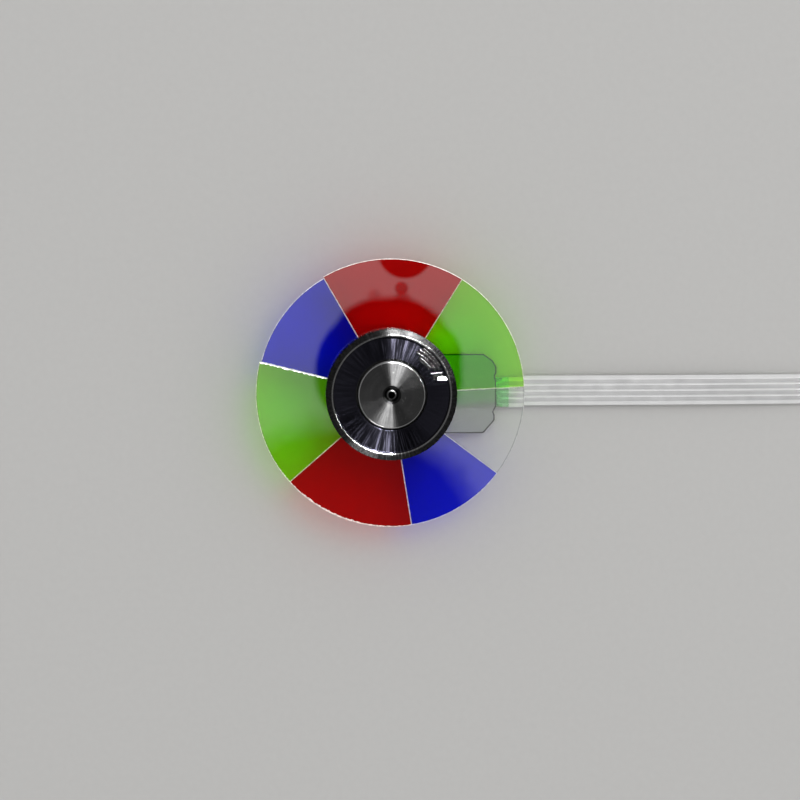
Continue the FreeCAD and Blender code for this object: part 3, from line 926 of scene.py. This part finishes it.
screw_holes = [
    arc(8.0 * math.cos(a), 8.0 * math.sin(a), 0.8, 0, 345, 15)
    for a in (math.radians(60), math.radians(180), math.radians(300))
]
window = [
    (5.53, -1.07), (5.83, -1.37), (6.17, -1.37), (6.47, -1.07),
    (6.47, 1.07), (6.17, 1.37), (5.83, 1.37), (5.53, 1.07),
]
seat = arc(0, 0, 3.52, 0, 354, 6)
base = plate("plate_stamped", plate_outline(), screw_holes + [window, seat], 1.4, 2.4, 0.24)
stand_for(base, "base_plate", "stator")


def plate_finish():
    f = Finish("plate_steel")
    x, y, z = f.place()
    rolled = f.grain(x * 0.25, y * 7.0, z, 0.9, 3.0)
    tone = f.grain(x, y, z, 0.25, 3.0)
    face = f.mix(rolled * 0.4 + tone * 0.6, rgb(0.150, 0.161, 0.156), rgb(0.200, 0.212, 0.206))
    slant = f.grain(x * 0.35 + y * 0.12, y * 9.0 - x * 3.0, z, 0.8, 1.0)
    scratch = f.step(slant, 0.66, 0.72) * f.step(f.grain(x, y, z, 0.5), 0.42, 0.55)
    face = f.mix(scratch * 0.6, face, grey(0.34))
    # painted shade: the rounded edges, where the surface tilts off the flat, are painted near black
    painted_rim_shade_tilt = f.add("SeparateXYZ", None, {0: f.add("TexCoord")[1]})[2]
    color = f.mix(f.step(abs(painted_rim_shade_tilt), 0.975, 0.992), grey(0.004), face)
    rough = 0.52 + rolled * 0.05 + scratch * 0.10
    normal = f.bump(rolled * 0.4 - scratch, 0.05, 0.00002)
    looks = {"base_color": color, "roughness": rough, "specular_ior_level": 0.08, "normal": normal}
    return f.surface(f.principled(**looks))


dress(base, plate_finish())

# %% [markdown]
# The cable's film is milky and smooth. Tinned conductors lie under it, each a little greyer
# and more metallic than the clear gaps beside it, and the two outer margins are film alone.
# The stripes need only the distance across the cable, since it never turns sideways.

# %% Finish: flat cable
def cable_finish():
    f = Finish("cable_film")
    x, y, z = f.place()
    across = y + 0.3
    lane = abs((across + 10.0).fract() - 0.5)
    inside = 1.0 - f.step(abs(across), 1.86, 1.94)
    copper = (1.0 - f.step(lane, 0.33, 0.38)) * inside
    rolled = f.grain(x * 0.05, y * 6.0, z, 2.0, 3.0)
    foil = f.mix(rolled, grey(0.24), grey(0.32))
    color = f.mix(copper, grey(0.54), foil)
    press = f.grain(x, y, z, 0.5, 2.0)
    rough = 0.20 - copper * 0.04 + press * 0.08
    normal = f.bump(rolled * 0.5 + press, 0.08, 0.00004)
    looks = {"base_color": color, "metallic": copper * 0.35, "roughness": rough, "normal": normal}
    return f.surface(f.principled(**looks))


dress(cable, cable_finish())

# %% [markdown]
# The rest of the motor is seen from below and through the gaps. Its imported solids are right
# as they are, so they get finishes only, except for round parts whose edges catch light.

# %% Finishes for the motor
def metal_finish(name, light, dark, roughness, scale, grain_bump=0.1, stretch=(1.0, 1.0, 1.0)):
    f = Finish(name)
    x, y, z = f.place()
    sx, sy, sz = stretch
    grains = f.grain(x * sx, y * sy, z * sz, scale, 4.0, 0.6)
    stain = f.grain(x, y, z, 0.4, 3.0)
    color = f.mix(f.step(grains * 0.6 + stain * 0.4, 0.3, 0.7), dark, light)
    rough = roughness + grains * 0.12
    normal = f.bump(grains, grain_bump, 0.00003)
    return f.surface(f.principled(base_color=color, metallic=1.0, roughness=rough, normal=normal))


def plastic_finish(name, light, dark, roughness, scale, grain_bump=0.1):
    f = Finish(name)
    x, y, z = f.place()
    grains = f.grain(x, y, z, scale, 3.0)
    broad = f.grain(x, y, z, 0.5, 2.0)
    color = f.mix(grains * 0.5 + broad * 0.5, dark, light)
    normal = f.bump(grains, grain_bump, 0.00002)
    return f.surface(f.principled(base_color=color, roughness=roughness + broad * 0.15, normal=normal))


def shaft_finish():
    """Ground steel: its mirror-flat end painted near black as a painted dark reflection, inside a round
    painted lighter as a painted highlight.
    """
    f = Finish("shaft_steel")
    x, y, z = f.place()
    marks = f.grain(x, y, z * 9.0, 2.0, 4.0, 0.6)
    # painted highlight: the round is painted lighter so its crescent shines brighter; the flat end is
    # painted dark
    painted_highlight_round = f.step((x * x + y * y).root(), 0.54, 0.66)
    flat, edge = f.mix(marks, grey(0.010), grey(0.018)), f.mix(marks, grey(0.020), grey(0.030))
    color = f.mix(painted_highlight_round, flat, edge)
    return f.surface(f.principled(base_color=color, metallic=1.0, roughness=0.06 + painted_highlight_round * 0.16))


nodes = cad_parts
drawn_steel = metal_finish("yoke_steel", grey(0.60), grey(0.48), 0.22, 1.5, 0.1, (1.0, 1.0, 6.0))
brass = metal_finish("brass", rgb(0.78, 0.60, 0.28), rgb(0.66, 0.48, 0.20), 0.24, 1.2)
bronze = metal_finish("bronze", rgb(0.50, 0.33, 0.17), rgb(0.30, 0.18, 0.09), 0.42, 14.0, 0.5)
magnet = plastic_finish("magnet", grey(0.075), grey(0.04), 0.55, 9.0, 0.4)
core_steel = metal_finish("core_steel", grey(0.42), grey(0.22), 0.38, 3.0, 0.4, (0.2, 0.2, 9.0))
black_plastic = plastic_finish("insulator_plastic", grey(0.045), grey(0.02), 0.45, 6.0)
washer_plastic = plastic_finish("washer_plastic", rgb(0.82, 0.79, 0.70), rgb(0.74, 0.70, 0.60), 0.4, 6.0)
tape = plastic_finish("black_tape", grey(0.028), grey(0.015), 0.6, 8.0, 0.2)
tin_light, tin_dark = rgb(0.80, 0.79, 0.76), rgb(0.66, 0.65, 0.62)
tin = metal_finish("tinned_copper", tin_light, tin_dark, 0.25, 4.0, 0.1, (0.3, 3.0, 1.0))
solder = metal_finish("solder", grey(0.74), grey(0.62), 0.16, 3.0)
wire = metal_finish("winding_wire", rgb(0.72, 0.30, 0.12), rgb(0.52, 0.18, 0.06), 0.22, 5.0)
adhesive = plastic_finish("adhesive", rgb(0.42, 0.42, 0.38), rgb(0.30, 0.30, 0.27), 0.2, 3.0)
blue_film = plastic_finish("stiffener_film", rgb(0.10, 0.24, 0.62), rgb(0.07, 0.18, 0.50), 0.32, 3.0)

for name, material in {
    "lower_adhesive": adhesive,
    "upper_adhesive": adhesive,
    "ring_magnet": magnet,
    "stop_washer": washer_plastic,
    "index_mark": tape,
    "sleeve_bearing": bronze,
    "thrust_pad": washer_plastic,
    "thrust_cover": brass,
    "stator_core": core_steel,
    "insulator_lower": black_plastic,
    "insulator_upper": black_plastic,
    "cable_tails": tin,
    "cable_stiffener": blue_film,
    "cable_contacts": tin,
}.items():
    dress(nodes[name], material)
print("materials so far:", len(bpy.data.materials))

# %% [markdown]
# Yoke, bearing holder and shaft are round, and their edges are seen in the gap under the
# wheel. They come from the same lathe as the hub. The yoke is drawn from sheet steel, so its
# corners get a much larger round than the turned parts.

# %% Round parts of the motor
YOKE_OUTLINE = [
    (3.0, 6.3),
    (8.4, 6.3),
    (8.4, 2.9),
    (9.2, 2.9),
    (9.2, 7.1),
    (3.0, 7.1),
]
HOLDER_OUTLINE = [
    (3.2, 0.0),
    (4.3, 0.0),
    (4.5, 0.2),
    (4.5, 1.4),
    (3.5, 1.4),
    (3.5, 2.4),
    (3.9, 2.4),
    (3.5, 2.65),
    (3.5, 3.7),
    (3.0, 3.7),
    (3.0, 6.0),
    (2.5, 6.0),
    (2.5, 0.9),
    (3.2, 0.9),
]
shaft = stand_for(lathe("shaft_ground", SHAFT_OUTLINE, 0.08, 96), "shaft", "rotor")
dress(shaft, shaft_finish())
yoke = stand_for(lathe("yoke_drawn", YOKE_OUTLINE, 0.4), "rotor_yoke", "rotor")
dress(yoke, drawn_steel)
holder = stand_for(lathe("holder_turned", HOLDER_OUTLINE, 0.05), "bearing_holder", "stator")
dress(holder, brass)

# %% [markdown]
# Nine coils sit on the core's teeth. A coil is one enamelled wire wound round and round, so
# its path is a rounded rectangle that moves along the tooth a little with each turn, and
# then back over itself as a second layer. A tube is swept along that path.

# %% Windings
def tube_along(name, paths, radius, sides=6):
    """Round tubes along several open paths of points in millimetres, as one object."""
    verts, faces = [], []
    for path in paths:
        spots = [Vector(p) for p in path]
        first = len(verts)
        side = Vector((0.0, 0.0, 1.0))
        for i, spot in enumerate(spots):
            way = (spots[min(i + 1, len(spots) - 1)] - spots[max(i - 1, 0)]).normalized()
            slant = side.dot(way)
            side = (side - way * slant).normalized() if abs(slant) < 0.999 else way.orthogonal()
            over = way.cross(side)
            for k in range(sides):
                a = math.tau * k / sides
                verts.append((spot + (side * math.cos(a) + over * math.sin(a)) * radius) * MM)
        for i in range(len(spots) - 1):
            for k in range(sides):
                m = (k + 1) % sides
                u = first + i * sides
                faces.append((u + k, u + m, u + sides + m, u + sides + k))
        faces.append(tuple(first + k for k in reversed(range(sides))))
        faces.append(tuple(len(verts) - sides + k for k in range(sides)))
    obj = mesh_object(name, verts, faces)
    for face in obj.data.polygons:
        face.use_smooth = True
    return obj


COIL_X0, COIL_X1 = 4.3, 6.2
COIL_HALF_W, COIL_Z0, COIL_Z1 = 1.4, 3.05, 5.95
WIRE_R = 0.09
TEETH = 9


def turn_point(t, half_w, z0, z1, corner):
    """A point on a rounded rectangle round the tooth, t from 0 to 1."""
    a = math.tau * t
    reach_y, reach_z = half_w - corner, (z1 - z0) / 2 - corner
    c, d = math.cos(a), math.sin(a)
    scale = 1.0 / max(abs(c) / (reach_y + corner), abs(d) / (reach_z + corner))
    y, z = c * scale, d * scale
    inner = Vector((max(-reach_y, min(reach_y, y)), max(-reach_z, min(reach_z, z))))
    out = Vector((y, z)) - inner
    if out.length > 1e-9:
        out = out.normalized() * corner
    return inner.x + out.x, (z0 + z1) / 2 + inner.y + out.y


def coil_path(angle):
    turns = int((COIL_X1 - COIL_X0) / (2 * WIRE_R)) - 1
    path = []
    for layer in (0, 1):
        inset = WIRE_R * (1 + 1.9 * (1 - layer))
        for i in range(turns * 32):
            t = i / 32
            go = t / turns if layer == 0 else 1.0 - t / turns
            x = COIL_X0 + WIRE_R + (COIL_X1 - COIL_X0 - 2 * WIRE_R) * go
            half_w, z0, z1 = COIL_HALF_W - inset, COIL_Z0 + inset, COIL_Z1 - inset
            y, z = turn_point(t % 1.0, half_w, z0, z1, 0.3 - 0.1 * (1 - layer))
            ca, sa = math.cos(angle), math.sin(angle)
            path.append((x * ca - y * sa, x * sa + y * ca, z))
    return path


coils = tube_along("coils_wound", [coil_path(math.tau * i / TEETH) for i in range(TEETH)], WIRE_R)
stand_for(coils, "windings", "stator")
dress(coils, wire)
lead_low, lead_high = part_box("coil_leads")
LEAD_X = (lead_low.x + lead_high.x) / 2 / MM
LEADS_Y = [-0.9, -0.3, 0.3, 0.9]
LEAD_Z0, LEAD_RISE, LEAD_BOW = 1.15, 1.9, 0.05


def lead_path(y):
    """A lead from the board up to the windings, bowed a little, and straight at both ends."""
    path = []
    for i in range(15):
        z = LEAD_Z0 + LEAD_RISE * i / 14
        bow = LEAD_BOW * math.sin(y * 9 + z * 1.4) * math.sin((z - LEAD_Z0) * math.pi / LEAD_RISE)
        path.append((LEAD_X + bow, y, z))
    return path


lead_paths = [lead_path(y) for y in LEADS_Y]
leads = stand_for(tube_along("leads_drawn", lead_paths, 0.11, 10), "coil_leads", "stator")
dress(leads, wire)
print("wire in the windings:", len(coils.data.polygons), "faces; leads at x", round(LEAD_X, 2))

# %% [markdown]
# Solder wets its pad and pulls up into a small shining dome round the wire. Each joint is a
# dome on the board's underside, wider than it is high, with a softly uneven skin.

# %% Solder
def solder_domes(name, places):
    """Domes that hang down from height z: (x, y, z, half length, half width, depth)."""
    verts, faces, rings, around = [], [], 9, 28
    for x, y, z, half_x, half_y, depth in places:
        first = len(verts)
        for i in range(rings):
            rise = math.pi / 2 * i / (rings - 1)
            for k in range(around):
                a = math.tau * k / around
                flat = (abs(math.cos(a)) ** 3 + abs(math.sin(a)) ** 3) ** (-1 / 3)
                swell = 1.0 + 0.03 * noise.noise(Vector((x + math.cos(a), y + math.sin(a), i * 0.5)))
                out = math.cos(rise) * flat * swell
                verts.append((
                    (x + half_x * out * math.cos(a)) * MM,
                    (y + half_y * out * math.sin(a)) * MM,
                    (z - depth * math.sin(rise) ** 0.8) * MM,
                ))
        for i in range(rings - 1):
            for k in range(around):
                m, u = (k + 1) % around, first + i * around
                faces.append((u + k, u + around + k, u + around + m, u + m))
        faces.append(tuple(first + k for k in range(around)))
    obj = mesh_object(name, verts, faces)
    for face in obj.data.polygons:
        face.use_smooth = True
    return obj


CONDUCTORS_Y = [-0.3 + PITCH / MM * (i - 1.5) for i in range(4)]
joint_places = [(LEAD_X, y, 1.15, 0.27, 0.27, 0.24) for y in LEADS_Y]
joint_places += [(12.45, y, 1.15, 0.45, 0.42, 0.28) for y in CONDUCTORS_Y]
joints = stand_for(solder_domes("solder_domes", joint_places), "solder_joints", "stator")
dress(joints, solder)
print("solder joints:", len(joint_places))

# %% [markdown]
# The board carries current from the leads to the cable. Green lacquer covers its tracks,
# which still show as a slightly lighter, raised pattern, and bare pads sit under the solder.

# %% Solder board
board_low, board_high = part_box("solder_board")
bx0, by0, bx1, by1 = (v / MM for v in (board_low.x, board_low.y, board_high.x, board_high.y))
BOARD_CUT = 0.5
board_outline = [
    (bx0 + BOARD_CUT, by0), (bx1 - BOARD_CUT, by0), (bx1, by0 + BOARD_CUT), (bx1, by1 - BOARD_CUT),
    (bx1 - BOARD_CUT, by1), (bx0 + BOARD_CUT, by1), (bx0, by1 - BOARD_CUT), (bx0, by0 + BOARD_CUT),
]
lead_holes = [arc(LEAD_X, y, 0.18, 0, 340, 20) for y in LEADS_Y]
board = plate("board_cut", board_outline, lead_holes, 1.15, 1.4, 0.02)
stand_for(board, "solder_board", "stator")


def board_finish():
    f = Finish("board")
    x, y, z = f.place()
    spread = 1.0 + f.step(x, 7.0, 11.5) * 0.667
    fan = (y + f.step(x, 7.0, 11.5) * 0.3) / spread
    lane = abs((fan / 0.6 + 10.0).fract() - 0.5)
    inside = (1.0 - f.step(abs(fan), 1.17, 1.2)) * f.step(x, 6.2, 6.3) * (1.0 - f.step(x, 13.0, 13.1))
    track = (1.0 - f.step(lane, 0.24, 0.30)) * inside
    weave = f.grain(x * 2.0, y * 2.0, z, 3.0, 2.0)
    lacquer = f.mix(weave, rgb(0.012, 0.10, 0.035), rgb(0.018, 0.15, 0.05))
    color = f.mix(track, lacquer, rgb(0.05, 0.28, 0.09))
    normal = f.bump(track + weave * 0.2, 0.3, 0.00003)
    return f.surface(f.principled(base_color=color, roughness=0.25 + weave * 0.1, normal=normal))


dress(board, board_finish())

# %% [markdown]
# Where the cable comes out from under the board, a short clear tape covers it. It is much
# glossier than the cable, so it mirrors the glass above it and looks darker.

# %% Cable tape
def tape_finish():
    f = Finish("tape_film")
    x, y, z = f.place()
    streak = f.grain(x * 0.2, y * 3.0, z, 1.0, 2.0)
    color = f.mix(streak, rgb(0.30, 0.32, 0.28), rgb(0.38, 0.40, 0.36))
    rough = 0.04 + streak * 0.06
    return f.surface(f.principled(base_color=color, roughness=rough, ior=1.6, transmission_weight=0.8))


dress(nodes["cable_tape"], tape_finish())
print("materials in all:", len(bpy.data.materials))
